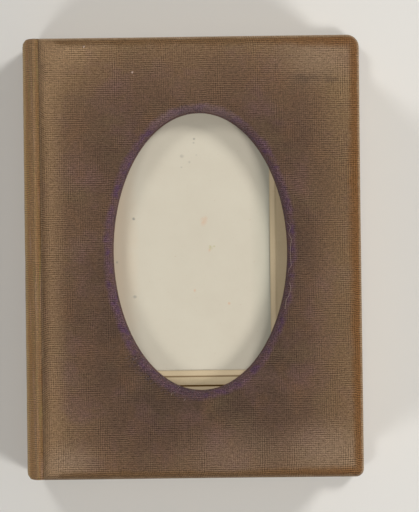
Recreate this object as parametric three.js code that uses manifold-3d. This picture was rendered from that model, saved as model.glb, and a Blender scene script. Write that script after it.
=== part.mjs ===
// A photo album for carte-de-visite cards, lying on its back cover with its spine at -X and
// its head at +Y. Two boards wrapped in padded plush hinge on a rounded spine. An oval window
// through the front cover shows the first leaf, which holds a card behind a bevelled opening.
// Lengths are millimetres, +Z is up, and the origin is under the middle of the whole album.

import * as THREE from 'three';
import { mergeVertices } from 'three/addons/utils/BufferGeometryUtils.js';
import Module from 'manifold-3d';

const wasm = await Module();
wasm.setup();

// Overall size, seen from above
const ALBUM_WIDTH = 114;
const ALBUM_HEIGHT = 150;

// Clearance between neighbouring pieces, and between the covers and the leaves
const SEAT = 0.3;
const PAGE_CLEARANCE = 0.3;

// Covers: board, plush wrapped round it, and the paper lining on its inner face
const BOARD_THICKNESS = 3.6;
const BOARD_ROUNDING = 0.8;
const BOARD_CORNER_MARGIN = 0.1;
const PLUSH_THICKNESS = 1.4;
const TURN_IN_THICKNESS = 0.9;
const LINING_THICKNESS = 0.5;
const LINING_MARGIN = 3.5;
const COVER_ROUNDING = 2.4;
const COVER_CORNER_RADIUS = 2.7;
const WORN_CORNER_RADIUS = 4.1;
const COVER_OVERHANG = 4;

// Oval window in the front cover, placed from the middle of the cover
const WINDOW_WIDTH = 60;
const WINDOW_HEIGHT = 95.2;
const WINDOW_OFFSET_X = -0.1;
const WINDOW_OFFSET_Y = 2;
const LINING_REVEAL = 0.5;

// Spine, and the groove between it and each cover
const SPINE_BOARD_THICKNESS = 1.3;
const SPINE_BOARD_ARC = THREE.MathUtils.degToRad(136);
const SPINE_END_INSET = 1.8;
const SPINE_CORNER_RADIUS = 2;
const RIDGE_WIDTH = 3.6;
const RIDGE_RISE = 2.1;
const GROOVE_WIDTH = 1.4;
const GROOVE_DIP = 1.5;

// Block of leaves
const LEAF_COUNT = 12;
const LEAF_THICKNESS = 2;
const LEAF_SLOT = 0.3;
const LEAF_SLOT_DEPTH = 1.2;
const LEAF_CORNER_RADIUS = 2.5;
const LEAF_BACK_BULGE = 0.3;
const LEAF_GUARD_WIDTH = 4;

// Card, and the pocket that holds it behind a bevelled window, placed from the leaf's middle
const CARD_WIDTH = 63.5;
const CARD_HEIGHT = 101.6;
const CARD_THICKNESS = 0.5;
const CARD_CORNER_RADIUS = 1;
const CARD_PLAY = 0.5;
const FACE_SHEET_THICKNESS = 0.7;
const LEAF_WINDOW_WIDTH = 54.4;
const LEAF_WINDOW_HEIGHT = 89;
const LEAF_WINDOW_OFFSET_X = -0.9;
const LEAF_WINDOW_OFFSET_Y = 6.1;
const LEAF_WINDOW_BEVEL = 1.6;
const SLIT_DISTANCE = 3.7;
const SLIT_HEIGHT = 0.35;

// Smoothness of the round stretches
const OVAL_SEGMENTS = 96;
const SPINE_SEGMENTS = 40;
const CORNER_SEGMENTS = 4;
const ROUNDING_SEGMENTS = 4;
const SHORTEST_SIDE = 0.001;

// How far a cutting solid runs past what it cuts
const OVERSHOOT = 1;

// Heights through the pile: outer face of a cover to its lining, leaves, then the other cover
const coverThickness = TURN_IN_THICKNESS + SEAT + BOARD_THICKNESS + SEAT + PLUSH_THICKNESS;
const boardBottom = TURN_IN_THICKNESS + SEAT;
const boardTop = boardBottom + BOARD_THICKNESS;
const liningBottom = boardBottom - LINING_THICKNESS;
const blockThickness = LEAF_COUNT * LEAF_THICKNESS;
const blockBottom = coverThickness - liningBottom + PAGE_CLEARANCE;
const blockTop = blockBottom + blockThickness;
const albumThickness = blockTop + blockBottom;
const middleZ = albumThickness / 2;

// The spine is a nest of half ellipses: back of the leaves, spine board, plush
const spineBoardInner = LEAF_BACK_BULGE + SEAT;
const spineBoardOuter = spineBoardInner + SPINE_BOARD_THICKNESS;
const spinePlushInner = spineBoardOuter + SEAT;
const spineBulge = spinePlushInner + PLUSH_THICKNESS;
const crestX = -ALBUM_WIDTH / 2 + spineBulge;
const backCurveHalfHeight = (bulge) => blockThickness / 2 + bulge - LEAF_BACK_BULGE;

// Plan of a cover and of the leaves
const coverPlan = {
  left: -ALBUM_WIDTH / 2 + RIDGE_WIDTH + GROOVE_WIDTH,
  right: ALBUM_WIDTH / 2,
  bottom: -ALBUM_HEIGHT / 2,
  top: ALBUM_HEIGHT / 2,
};
const boardPlan = grown(coverPlan, -PLUSH_THICKNESS - SEAT);
const liningPlan = { ...grown(coverPlan, -LINING_MARGIN), left: boardPlan.left };
const leafPlan = { ...grown(coverPlan, -COVER_OVERHANG), left: crestX };
const windowCentre = middleOf(coverPlan).add(new THREE.Vector2(WINDOW_OFFSET_X, WINDOW_OFFSET_Y));
const leafWindowCentre = middleOf(leafPlan)
  .add(new THREE.Vector2(LEAF_WINDOW_OFFSET_X, LEAF_WINDOW_OFFSET_Y));

// Pocket of an outer leaf, measured from the middle of its window
const bevelFoot = -LEAF_WINDOW_HEIGHT / 2 - LEAF_WINDOW_BEVEL;
const slitY = bevelFoot - SLIT_DISTANCE;
const cardFoot = slitY + SLIT_HEIGHT / 2;
const pocketDepth = CARD_THICKNESS + SEAT;
const pocketWidth = CARD_WIDTH + 2 * CARD_PLAY;

const plushMaterial = new THREE.MeshStandardMaterial({ color: 0x6f5a4b, roughness: 0.95, metalness: 0 });
const boardMaterial = new THREE.MeshStandardMaterial({ color: 0xa38d6b, roughness: 0.85, metalness: 0 });
const liningMaterial = new THREE.MeshStandardMaterial({ color: 0xcab6a3, roughness: 0.8, metalness: 0 });
const leafMaterial = new THREE.MeshStandardMaterial({ color: 0xb9a27a, roughness: 0.75, metalness: 0 });
const cardMaterial = new THREE.MeshStandardMaterial({ color: 0xcdc5b2, roughness: 0.7, metalness: 0 });

function grown(plan, distance) {
  return {
    left: plan.left - distance,
    right: plan.right + distance,
    bottom: plan.bottom - distance,
    top: plan.top + distance,
  };
}

function middleOf(plan) {
  return new THREE.Vector2((plan.left + plan.right) / 2, (plan.bottom + plan.top) / 2);
}

// A rectangle with a radius at each corner; a radius of 0 leaves the corner square.
function roundedRectangle({ left, right, bottom, top }, radius, headForeEdgeRadius = radius) {
  const shape = new THREE.Shape();
  shape.moveTo(left + radius, bottom);
  shape.lineTo(right - radius, bottom);
  shape.absarc(right - radius, bottom + radius, radius, -Math.PI / 2, 0, false);
  shape.lineTo(right, top - headForeEdgeRadius);
  shape.absarc(
    right - headForeEdgeRadius,
    top - headForeEdgeRadius,
    headForeEdgeRadius,
    0,
    Math.PI / 2,
    false,
  );
  shape.lineTo(left + radius, top);
  shape.absarc(left + radius, top - radius, radius, Math.PI / 2, Math.PI, false);
  shape.lineTo(left, bottom + radius);
  shape.absarc(left + radius, bottom + radius, radius, Math.PI, Math.PI * 1.5, false);
  return shape;
}

function rectangle({ left, right, bottom, top }) {
  const corners = [[left, bottom], [right, bottom], [right, top], [left, top]];
  return new THREE.Shape(corners.map(([x, y]) => new THREE.Vector2(x, y)));
}

// The oval of the window, grown by a distance on every side.
function windowOval(distance) {
  const curve = new THREE.EllipseCurve(
    windowCentre.x,
    windowCentre.y,
    WINDOW_WIDTH / 2 + distance,
    WINDOW_HEIGHT / 2 + distance,
  );
  return new THREE.Path(curve.getPoints(OVAL_SEGMENTS).slice(0, -1));
}

function withHole(shape, hole) {
  shape.holes.push(hole);
  return shape;
}

// The outline as a polygon, without the points that two neighbouring curves share.
function polygonOf(path, Kind, divisions) {
  const points = path.getPoints(divisions);
  const separate = points.filter((point, index) => {
    const previous = points.at(index - 1);
    return point.distanceTo(previous) > SHORTEST_SIDE;
  });
  return new Kind(separate);
}

function polygonShape(shape, divisions) {
  const outline = polygonOf(shape, THREE.Shape, divisions);
  outline.holes = shape.holes.map((hole) => polygonOf(hole, THREE.Path, divisions));
  return outline;
}

// A flat plate from one height to another, with its edges and hole rims rounded.
function plateGeometry(shape, bottom, top, rounding = 0) {
  const geometry = new THREE.ExtrudeGeometry(polygonShape(shape, CORNER_SEGMENTS), {
    depth: top - bottom - 2 * rounding,
    bevelEnabled: rounding > 0,
    bevelThickness: rounding,
    bevelSize: rounding,
    bevelOffset: -rounding,
    bevelSegments: ROUNDING_SEGMENTS,
  });
  return geometry.translate(0, 0, bottom + rounding);
}

function plate(shape, bottom, top, rounding = 0) {
  return solid(plateGeometry(shape, bottom, top, rounding));
}

// A bar along Y whose section is drawn with its second coordinate as height.
function barAlongY(section, length) {
  const geometry = new THREE.ExtrudeGeometry(polygonShape(section, SPINE_SEGMENTS / 2), {
    depth: length,
    bevelEnabled: false,
  });
  geometry.translate(0, 0, -length / 2);
  return solid(geometry.rotateX(Math.PI / 2));
}

function solid(geometry) {
  const bare = geometry.clone();
  bare.deleteAttribute('normal');
  bare.deleteAttribute('uv');
  const merged = mergeVertices(bare);
  return new wasm.Manifold(new wasm.Mesh({
    numProp: 3,
    vertProperties: new Float32Array(merged.attributes.position.array),
    triVerts: new Uint32Array(merged.index.array),
  }));
}

function meshOf(name, manifold, material) {
  const { vertProperties, triVerts } = manifold.getMesh();
  const geometry = new THREE.BufferGeometry();
  geometry.setAttribute('position', new THREE.BufferAttribute(new Float32Array(vertProperties), 3));
  geometry.setIndex(new THREE.BufferAttribute(new Uint32Array(triVerts), 1));
  geometry.computeVertexNormals();
  const mesh = new THREE.Mesh(geometry, material);
  mesh.name = name;
  return mesh;
}

// The board of a cover. The oval, where there is one, leaves room for the plush round its rim.
function coverBoard(hasWindow, radius, headForeEdgeRadius, clearance = 0) {
  const inset = PLUSH_THICKNESS + SEAT - clearance;
  const smallestRadius = BOARD_ROUNDING + BOARD_CORNER_MARGIN;
  const shape = roundedRectangle(
    grown(boardPlan, clearance),
    Math.max(radius - inset, smallestRadius),
    Math.max(headForeEdgeRadius - inset, smallestRadius),
  );
  if (hasWindow) {
    withHole(shape, windowOval(inset));
  }
  return plate(shape, boardBottom - clearance, boardTop + clearance, BOARD_ROUNDING);
}

// The plush of a cover wraps the board, rolls down into the window, and is turned in on the
// inner face as far as the lining. Next to the spine it stops above the leaves.
function coverPlush(hasWindow, radius, headForeEdgeRadius) {
  const shape = roundedRectangle(coverPlan, radius, headForeEdgeRadius);
  if (hasWindow) {
    withHole(shape, windowOval(0));
  }
  const wrapped = plate(shape, 0, coverThickness, COVER_ROUNDING);
  const liningRoom = plate(rectangle(grown(liningPlan, SEAT)), -OVERSHOOT, boardBottom + SEAT);
  const leafRoom = plate(
    rectangle({ ...grown(liningPlan, SEAT), left: coverPlan.left - OVERSHOOT }),
    -OVERSHOOT,
    liningBottom,
  );
  return wrapped
    .subtract(coverBoard(hasWindow, radius, headForeEdgeRadius, SEAT))
    .subtract(liningRoom)
    .subtract(leafRoom);
}

// The paper lining lies on the board's inner face, and its edge shows as a fine line in the oval.
function coverLining(hasWindow) {
  const shape = roundedRectangle(liningPlan, LEAF_CORNER_RADIUS);
  if (hasWindow) {
    withHole(shape, windowOval(-LINING_REVEAL));
  }
  return plate(shape, liningBottom, boardBottom);
}

// One cover in its own frame: z is 0 at its inner edge and grows towards its outer face.
function cover(name, hasWindow, headForeEdgeRadius) {
  const group = new THREE.Group();
  const radius = COVER_CORNER_RADIUS;
  group.add(
    meshOf(`${name}_board`, coverBoard(hasWindow, radius, headForeEdgeRadius), boardMaterial),
    meshOf(`${name}_plush`, coverPlush(hasWindow, radius, headForeEdgeRadius), plushMaterial),
    meshOf(`${name}_lining`, coverLining(hasWindow), liningMaterial),
  );
  return group;
}

// Half ellipse round the back of the leaves, drawn from its top to its foot or from foot to top.
function backCurve(shape, bulge, halfArc, fromTop, rise = 0) {
  const first = fromTop ? Math.PI - halfArc : Math.PI + halfArc;
  const last = fromTop ? Math.PI + halfArc : Math.PI - halfArc;
  const halfHeight = backCurveHalfHeight(bulge) + rise;
  shape.absellipse(crestX, middleZ, bulge, halfHeight, first, last, !fromTop);
}

function spineBoard() {
  const section = new THREE.Shape();
  backCurve(section, spineBoardOuter, SPINE_BOARD_ARC / 2, true);
  backCurve(section, spineBoardInner, SPINE_BOARD_ARC / 2, false);
  return barAlongY(section, ALBUM_HEIGHT - 2 * SPINE_END_INSET);
}

// The plush runs over the spine from groove to groove. It is padded to a ridge along each side,
// and dips beyond the ridge into the groove's floor.
function spinePlush() {
  const grooveX = coverPlan.left - SEAT;
  const bendX = (crestX + grooveX) / 2;
  const ridge = backCurveHalfHeight(spineBulge) + RIDGE_RISE;
  const underRidge = backCurveHalfHeight(spinePlushInner);
  const floor = ridge - GROOVE_DIP;
  const underFloor = floor - PLUSH_THICKNESS;
  const section = new THREE.Shape();
  section.moveTo(grooveX, middleZ + floor);
  section.quadraticCurveTo(bendX, middleZ + ridge, crestX, middleZ + ridge);
  backCurve(section, spineBulge, Math.PI / 2, true, RIDGE_RISE);
  section.quadraticCurveTo(bendX, middleZ - ridge, grooveX, middleZ - floor);
  section.lineTo(grooveX, middleZ - underFloor);
  section.quadraticCurveTo(bendX, middleZ - underRidge, crestX, middleZ - underRidge);
  backCurve(section, spinePlushInner, Math.PI / 2, false);
  section.quadraticCurveTo(bendX, middleZ + underRidge, grooveX, middleZ + underFloor);
  const plan = roundedRectangle(
    { ...coverPlan, left: -ALBUM_WIDTH / 2, right: coverPlan.left + SPINE_CORNER_RADIUS + OVERSHOOT },
    SPINE_CORNER_RADIUS,
  );
  return barAlongY(section, ALBUM_HEIGHT)
    .intersect(plate(plan, -OVERSHOOT, albumThickness + OVERSHOOT));
}

// The cut for a card's pocket in a leaf whose outer face is at z = 0 before it is placed: a
// bevelled window, the hollow that the card lies in, and the slit at its foot.
function pocketCut(placement) {
  const placed = (geometry) => solid(geometry.applyMatrix4(placement));
  const pocketFloor = -FACE_SHEET_THICKNESS - pocketDepth;
  const slitPlan = {
    left: -pocketWidth / 2,
    right: pocketWidth / 2,
    bottom: slitY - SLIT_HEIGHT / 2,
    top: slitY + SLIT_HEIGHT / 2,
  };
  const windowPlan = {
    left: -LEAF_WINDOW_WIDTH / 2,
    right: LEAF_WINDOW_WIDTH / 2,
    bottom: -LEAF_WINDOW_HEIGHT / 2,
    top: LEAF_WINDOW_HEIGHT / 2,
  };
  const bevelledWindow = new THREE.ExtrudeGeometry(rectangle(windowPlan), {
    depth: OVERSHOOT,
    bevelEnabled: true,
    bevelThickness: FACE_SHEET_THICKNESS,
    bevelSize: LEAF_WINDOW_BEVEL,
    bevelSegments: 1,
  });
  const hollow = plateGeometry(
    rectangle({ ...slitPlan, top: cardFoot + CARD_HEIGHT + CARD_PLAY }),
    pocketFloor,
    -FACE_SHEET_THICKNESS,
  );
  const slit = plateGeometry(rectangle(slitPlan), pocketFloor, OVERSHOOT);
  return placed(bevelledWindow).add(placed(hollow)).add(placed(slit));
}

// The slot between two leaves at one height, on the fore edge, the head and the tail.
function leafSlot(middle) {
  const bottom = middle - LEAF_SLOT / 2;
  const top = middle + LEAF_SLOT / 2;
  const outer = { ...grown(leafPlan, OVERSHOOT), left: leafPlan.left + LEAF_GUARD_WIDTH };
  const inner = { ...grown(leafPlan, -LEAF_SLOT_DEPTH), left: leafPlan.left };
  return plate(rectangle(outer), bottom, top)
    .subtract(plate(roundedRectangle(inner, LEAF_CORNER_RADIUS), bottom - OVERSHOOT, top + OVERSHOOT));
}

// All leaves as one solid, with a pocket in the outer face of the first and of the last.
function leafBlock() {
  const section = new THREE.Shape();
  section.moveTo(leafPlan.right, blockBottom);
  section.lineTo(leafPlan.right, blockTop);
  backCurve(section, LEAF_BACK_BULGE, Math.PI / 2, true);
  const plan = roundedRectangle(
    { ...leafPlan, left: -ALBUM_WIDTH / 2 - LEAF_CORNER_RADIUS },
    LEAF_CORNER_RADIUS,
  );
  let block = barAlongY(section, leafPlan.top - leafPlan.bottom)
    .intersect(plate(plan, blockBottom - OVERSHOOT, blockTop + OVERSHOOT));
  for (let leaf = 1; leaf < LEAF_COUNT; leaf += 1) {
    block = block.subtract(leafSlot(blockBottom + leaf * LEAF_THICKNESS));
  }
  const onFirstLeaf = new THREE.Matrix4()
    .makeTranslation(leafWindowCentre.x, leafWindowCentre.y, blockTop);
  const onLastLeaf = new THREE.Matrix4()
    .makeTranslation(leafWindowCentre.x, leafWindowCentre.y, blockBottom)
    .multiply(new THREE.Matrix4().makeRotationY(Math.PI));
  return block.subtract(pocketCut(onFirstLeaf)).subtract(pocketCut(onLastLeaf));
}

// A blank card, in the frame of its leaf's window, with its underside at z = 0.
function windowCard() {
  const plan = {
    left: -CARD_WIDTH / 2,
    right: CARD_WIDTH / 2,
    bottom: cardFoot,
    top: cardFoot + CARD_HEIGHT,
  };
  return plate(roundedRectangle(plan, CARD_CORNER_RADIUS), 0, CARD_THICKNESS);
}

const frontCover = cover('front', true, WORN_CORNER_RADIUS);
frontCover.position.z = albumThickness - coverThickness;

const backCover = cover('back', false, COVER_CORNER_RADIUS);
backCover.rotation.x = Math.PI;
backCover.position.z = coverThickness;

const card = meshOf('window_card', windowCard(), cardMaterial);
card.position.set(
  leafWindowCentre.x,
  leafWindowCentre.y,
  blockTop - FACE_SHEET_THICKNESS - pocketDepth,
);

const bookBlock = new THREE.Group();
bookBlock.add(
  meshOf('spine_board', spineBoard(), boardMaterial),
  meshOf('spine_plush', spinePlush(), plushMaterial),
  meshOf('leaves', leafBlock(), leafMaterial),
  card,
);

const album = new THREE.Group();
album.add(frontCover, backCover, bookBlock);

export default album;
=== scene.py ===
import math

import bmesh
import bpy
import numpy as np
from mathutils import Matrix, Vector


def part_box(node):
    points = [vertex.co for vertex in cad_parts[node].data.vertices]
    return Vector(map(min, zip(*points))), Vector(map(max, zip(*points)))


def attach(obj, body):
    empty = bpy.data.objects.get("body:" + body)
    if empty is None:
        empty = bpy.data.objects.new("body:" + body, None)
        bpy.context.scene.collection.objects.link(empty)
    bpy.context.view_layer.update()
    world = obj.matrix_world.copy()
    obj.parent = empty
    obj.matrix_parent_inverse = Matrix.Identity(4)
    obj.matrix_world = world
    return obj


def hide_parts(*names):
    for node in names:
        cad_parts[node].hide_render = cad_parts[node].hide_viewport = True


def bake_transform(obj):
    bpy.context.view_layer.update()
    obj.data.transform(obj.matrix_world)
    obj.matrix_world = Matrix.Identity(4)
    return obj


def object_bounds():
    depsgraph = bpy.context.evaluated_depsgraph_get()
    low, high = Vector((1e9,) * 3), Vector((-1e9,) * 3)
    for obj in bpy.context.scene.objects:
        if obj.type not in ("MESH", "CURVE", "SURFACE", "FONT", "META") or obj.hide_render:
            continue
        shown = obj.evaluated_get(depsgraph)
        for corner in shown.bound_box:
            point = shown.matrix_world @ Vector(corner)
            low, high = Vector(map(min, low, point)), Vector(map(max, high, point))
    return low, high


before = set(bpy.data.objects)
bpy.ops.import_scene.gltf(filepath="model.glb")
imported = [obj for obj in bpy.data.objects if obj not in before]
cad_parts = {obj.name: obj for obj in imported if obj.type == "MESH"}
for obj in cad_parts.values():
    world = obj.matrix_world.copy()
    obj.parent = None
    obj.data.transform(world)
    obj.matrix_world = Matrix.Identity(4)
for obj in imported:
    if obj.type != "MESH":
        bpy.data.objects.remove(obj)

CAD_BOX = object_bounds()
MM = 0.001

# The photograph's frame in pixels, and the place and scale by which marks are put on the album
IMAGE_WIDTH = 419
IMAGE_HEIGHT = 512
ALBUM_CENTRE_PX = (193.0, 257.0)
MM_PER_PX = 0.3425

# The camera's height in metres, and the album's turn, middle and scale as it sees them
CAMERA_HEIGHT = 1.5
ALBUM_TURN = math.radians(0.7)
VIEW_CENTRE_PX = (193.3, 257.5)
VIEW_MM_PER_PX = 0.3392

# Lamps: place across and along in lamp heights, and power in watts
LAMP_HEIGHT = 0.62
LAMP_SIZE = 0.26
LAMPS = (
    ("lamp_left_head", -0.93, 1.02, 3.0),
    ("lamp_left_tail", -0.93, -0.76, 2.3),
    ("lamp_right_head", 1.02, 1.02, 5.9),
    ("lamp_right_tail", 1.02, -0.76, 4.7),
)

# The floor's half width and level in metres
FLOOR_HALF = 1.6
FLOOR_LEVEL = -0.2 * MM

# The covers' plush and the window's rim, in metres. The back cover has no window, so its cloth
# closes over an oval of next to no size. FAR stands for the distance of a point with no edge
# near it.
PLUSH_THICKNESS = 1.2 * MM
COVER_ROUNDING = 2.4 * MM
CORNER_RADIUS = 2.6 * MM
WORN_CORNER_RADIUS = 4.1 * MM
HINGE_CORNER_RADIUS = 0.9 * MM
SMALLEST_RADIUS = 0.6 * MM
TURN_IN_WIDTH = 3.0 * MM
TURN_IN_THICKNESS = 0.9 * MM
SPINE_SIDE_TURN_IN = 1.34 * MM
SPINE_SIDE_SHARE = 0.55
WINDOW_HALF_WIDTH = 30.0 * MM
WINDOW_HALF_HEIGHT = 47.6 * MM
WINDOW_SHIFT = (-0.1 * MM, 2.0 * MM)
CROWN = 0.25 * MM
EDGE_SWAY = 0.14 * MM
RIM_FOOT = 1.5 * MM
LINING_LEVEL = 0.7 * MM
BLIND_WINDOW_SCALE = 0.02
FAR = 30 * MM

# Band of purple pile round the window in millimetres, and what stands on it: clumps by the
# oval's angle in degrees, its spread, reach and count, the tones of their tufts and each tone's
# share, and threads by their angles and distance
RIM_BAND = 2.7
RIM_TUFTS = 5200
FRAYED_CLUMPS = (
    (237, 3, 4.2, 110),
    (229, 2.5, 5.0, 120),
    (262, 4, 1.8, 110),
    (250, 5, 3.6, 110),
    (101, 1.5, 2.2, 30),
)
CLUMP_TONES = (0.2, 0.4, 0.55, 0.95)
CLUMP_TONE_SHARES = (0.33, 0.37, 0.25, 0.05)
LOOSE_THREADS = ((12, -9, 0.7), (-13, -24, 1.4))

# Lint by its pixel, length in millimetres and heading in degrees
LINT = ((87, 48, 0.9, 80), (135, 74, 1.2, 100))

# Dark smudges on the front cover: place and radius in metres, and strength. They lie across.
SMUDGE_SQUEEZE = 0.4
SMUDGES = ((38.0 * MM, 60.3 * MM, 2.6 * MM, 0.45), (47.0 * MM, 60.0 * MM, 1.8 * MM, 0.4))

# Greyer rubbed places of the front cover: place and radius in metres, and strength
PALE_SPOT_STRETCH = 1.6
PALE_SPOTS = (
    (45 * MM, -66 * MM, 22 * MM, 0.6),
    (-43 * MM, -69 * MM, 14 * MM, 0.65),
    (12 * MM, -68 * MM, 24 * MM, 0.3),
    (43 * MM, 68 * MM, 20 * MM, 0.5),
)

# The weave: pitch of its rows, up the cover, and of its columns, across it
ROW_PITCH = 0.72 * MM
COLUMN_PITCH = 0.76 * MM

# Numbers of steps in the cloth meshes
CORNER_STEPS = 12
HEIGHT_STEPS = 118
WIDTH_STEPS = 84
SPINE_STEPS = 130

# The frame's boxes, and the edges of the front cover in them
LOW = {name: np.array(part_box(name)[0]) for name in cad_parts}
HIGH = {name: np.array(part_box(name)[1]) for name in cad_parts}
MIDDLE_Z = (CAD_BOX[0][2] + CAD_BOX[1][2]) / 2
COVER_LEFT = LOW["front_plush"][0]
COVER_RIGHT = HIGH["front_plush"][0]
COVER_TAIL = LOW["front_plush"][1]
COVER_HEAD = HIGH["front_plush"][1]
COVER_TOP = HIGH["front_plush"][2]
COVER_EDGE = LOW["front_plush"][2]
WINDOW_CENTRE = (
    (COVER_LEFT + COVER_RIGHT) / 2 + WINDOW_SHIFT[0],
    (COVER_TAIL + COVER_HEAD) / 2 + WINDOW_SHIFT[1],
)

# The outer leaves' windows and the slit below them
LEAF_WINDOW_CENTRE = (-1.1 * MM, 6.1 * MM)
LEAF_WINDOW_HALF = (27.2 * MM, 44.5 * MM)
SLIT_PLACE = -43.7 * MM

# The spine's plush, which stands proud of its solid, and the strips over the grooves
SPINE_PROUD = 0.8 * MM
RIDGE_PROUD = 0.55 * MM
CREST_FROM_BOARD = 1.9 * MM
SPINE_CREST = LOW["spine_board"][0] + CREST_FROM_BOARD
SPINE_REACH = SPINE_CREST - LOW["spine_plush"][0] + SPINE_PROUD
SPINE_HALF_HEIGHT = HIGH["spine_plush"][2] - MIDDLE_Z + RIDGE_PROUD
SPINE_INNER_REACH = 2.25 * MM
SPINE_INNER_HALF_HEIGHT = 13.95 * MM
STRIP_SKIN = 1.2 * MM
SPINE_TUCK = 0.9 * MM
STRIP_TUCK = 0.3 * MM
SPINE_RIPPLE = 0.12 * MM
SPINE_END_ROUNDING = 2.6 * MM
SPINE_END_GAP = 0.1 * MM

# Half the height of the spine's back that is drawn straight in at its ends, not in and down
SPINE_CORE = 11 * MM


def linear(red, green, blue):
    """The linear colour of an sRGB one given from 0 to 255."""
    def channel(value):
        share = value / 255
        return share / 12.92 if share <= 0.04045 else ((share + 0.055) / 1.055) ** 2.4
    return (channel(red), channel(green), channel(blue), 1.0)


def smooth(low, high, value):
    """0 below low, 1 above high, and a smooth rise between."""
    share = np.clip((np.asarray(value, float) - low) / (high - low), 0, 1)
    return share * share * (3 - 2 * share)


class Nodes:
    """Builds a material's node tree, one call for each node."""

    def __init__(self, name):
        self.material = bpy.data.materials.new(name)
        self.material.use_nodes = True
        self.tree = self.material.node_tree
        self.tree.nodes.clear()
        output = self.tree.nodes.new("ShaderNodeOutputMaterial")
        self.shader = self.tree.nodes.new("ShaderNodeBsdfPrincipled")
        self.tree.links.new(self.shader.outputs[0], output.inputs[0])

    def link(self, value, socket):
        if hasattr(value, "is_output"):
            self.tree.links.new(value, socket)
        else:
            socket.default_value = value

    def node(self, kind, inputs, output=0, **settings):
        """Add a node with its settings and inputs, and return one of its outputs."""
        node = self.tree.nodes.new("ShaderNode" + kind)
        for key, value in settings.items():
            setattr(node, key, value)
        for key, value in inputs.items():
            self.link(value, node.inputs[key])
        return node.outputs[output]

    def math(self, operation, first, second=0.0, third=0.0, clamp=False):
        inputs = {0: first, 1: second, 2: third}
        return self.node("Math", inputs, operation=operation, use_clamp=clamp)

    def plus(self, first, second):
        return self.math("ADD", first, second)

    def minus(self, first, second):
        return self.math("SUBTRACT", first, second)

    def times(self, first, second):
        return self.math("MULTIPLY", first, second)

    def over(self, first, second):
        return self.math("DIVIDE", first, second)

    def scaled(self, value, scale, onto, clamp=False):
        """A value times a scale, added onto another."""
        return self.math("MULTIPLY_ADD", value, scale, onto, clamp)

    def attribute(self, name, output="Fac"):
        return self.node("Attribute", {}, output, attribute_name=name)

    def place(self):
        return self.node("TexCoord", {}, "Object")

    def distance(self, place, centre):
        return self.node("VectorMath", {0: place, 1: centre}, "Value", operation="DISTANCE")

    def split(self, vector):
        node = self.tree.nodes.new("ShaderNodeSeparateXYZ")
        self.link(vector, node.inputs[0])
        return node.outputs

    def stretch(self, vector, scale):
        return self.node("Mapping", {"Vector": vector, "Scale": scale})

    def noise(self, vector, scale, detail=3.0, roughness=0.5):
        inputs = {"Vector": vector, "Scale": scale, "Detail": detail, "Roughness": roughness}
        return self.node("TexNoise", inputs)

    def swing(self, *noise):
        """A noise that swings about 0."""
        return self.minus(self.noise(*noise), 0.5)

    def ramp(self, value, stops, interpolation="LINEAR"):
        node = self.tree.nodes.new("ShaderNodeValToRGB")
        self.link(value, node.inputs[0])
        ramp = node.color_ramp
        ramp.interpolation = interpolation
        while len(ramp.elements) < len(stops):
            ramp.elements.new(1.0)
        for element, (position, colour) in zip(ramp.elements, stops):
            element.position = position
            element.color = colour if hasattr(colour, "__len__") else (colour, colour, colour, 1)
        return node.outputs[0]

    def mix(self, share, first, second, blend="MIX"):
        inputs = {"Factor": share, 6: first, 7: second}
        return self.node("Mix", inputs, 2, data_type="RGBA", blend_type=blend)

    def bump(self, height, distance, strength, normal=None):
        inputs = {"Height": height, "Distance": distance, "Strength": strength}
        if normal is not None:
            inputs["Normal"] = normal
        return self.node("Bump", inputs)

    def finish(self, colour, roughness, specular, normal=None):
        """Join a colour and a relief to the shader, and return the material."""
        self.link(colour, self.shader.inputs["Base Color"])
        self.shader.inputs["Roughness"].default_value = roughness
        self.shader.inputs["Specular IOR Level"].default_value = specular
        if normal is not None:
            self.link(normal, self.shader.inputs["Normal"])
        return self.material


def camera_and_light():
    """A camera straight above, turned a little as in the photograph, and four soft lamps."""
    turn = np.array([
        [math.cos(-ALBUM_TURN), -math.sin(-ALBUM_TURN)],
        [math.sin(-ALBUM_TURN), math.cos(-ALBUM_TURN)],
    ])
    offset_px = np.array([
        IMAGE_WIDTH / 2 - VIEW_CENTRE_PX[0],
        -(IMAGE_HEIGHT / 2 - VIEW_CENTRE_PX[1]),
    ])
    metres_per_px = VIEW_MM_PER_PX * MM
    aim = turn @ (offset_px * metres_per_px)
    data = bpy.data.cameras.new("camera")
    data.sensor_fit = "VERTICAL"
    data.sensor_height = 24
    data.lens = data.sensor_height * (CAMERA_HEIGHT - COVER_TOP) / (IMAGE_HEIGHT * metres_per_px)
    data.clip_start = 0.01
    camera = bpy.data.objects.new("camera", data)
    camera.location = (aim[0], aim[1], CAMERA_HEIGHT)
    camera.rotation_euler = (0, 0, -ALBUM_TURN)
    bpy.context.collection.objects.link(camera)
    bpy.context.scene.camera = camera

    for name, across, along, power in LAMPS:
        lamp = bpy.data.lights.new(name, "AREA")
        lamp.shape = "DISK"
        lamp.size = LAMP_SIZE
        lamp.energy = power
        place = bpy.data.objects.new(name, lamp)
        place.location = (across * LAMP_HEIGHT, along * LAMP_HEIGHT, LAMP_HEIGHT)
        direction = -place.location
        place.rotation_euler = direction.to_track_quat("-Z", "Y").to_euler()
        bpy.context.collection.objects.link(place)


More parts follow.
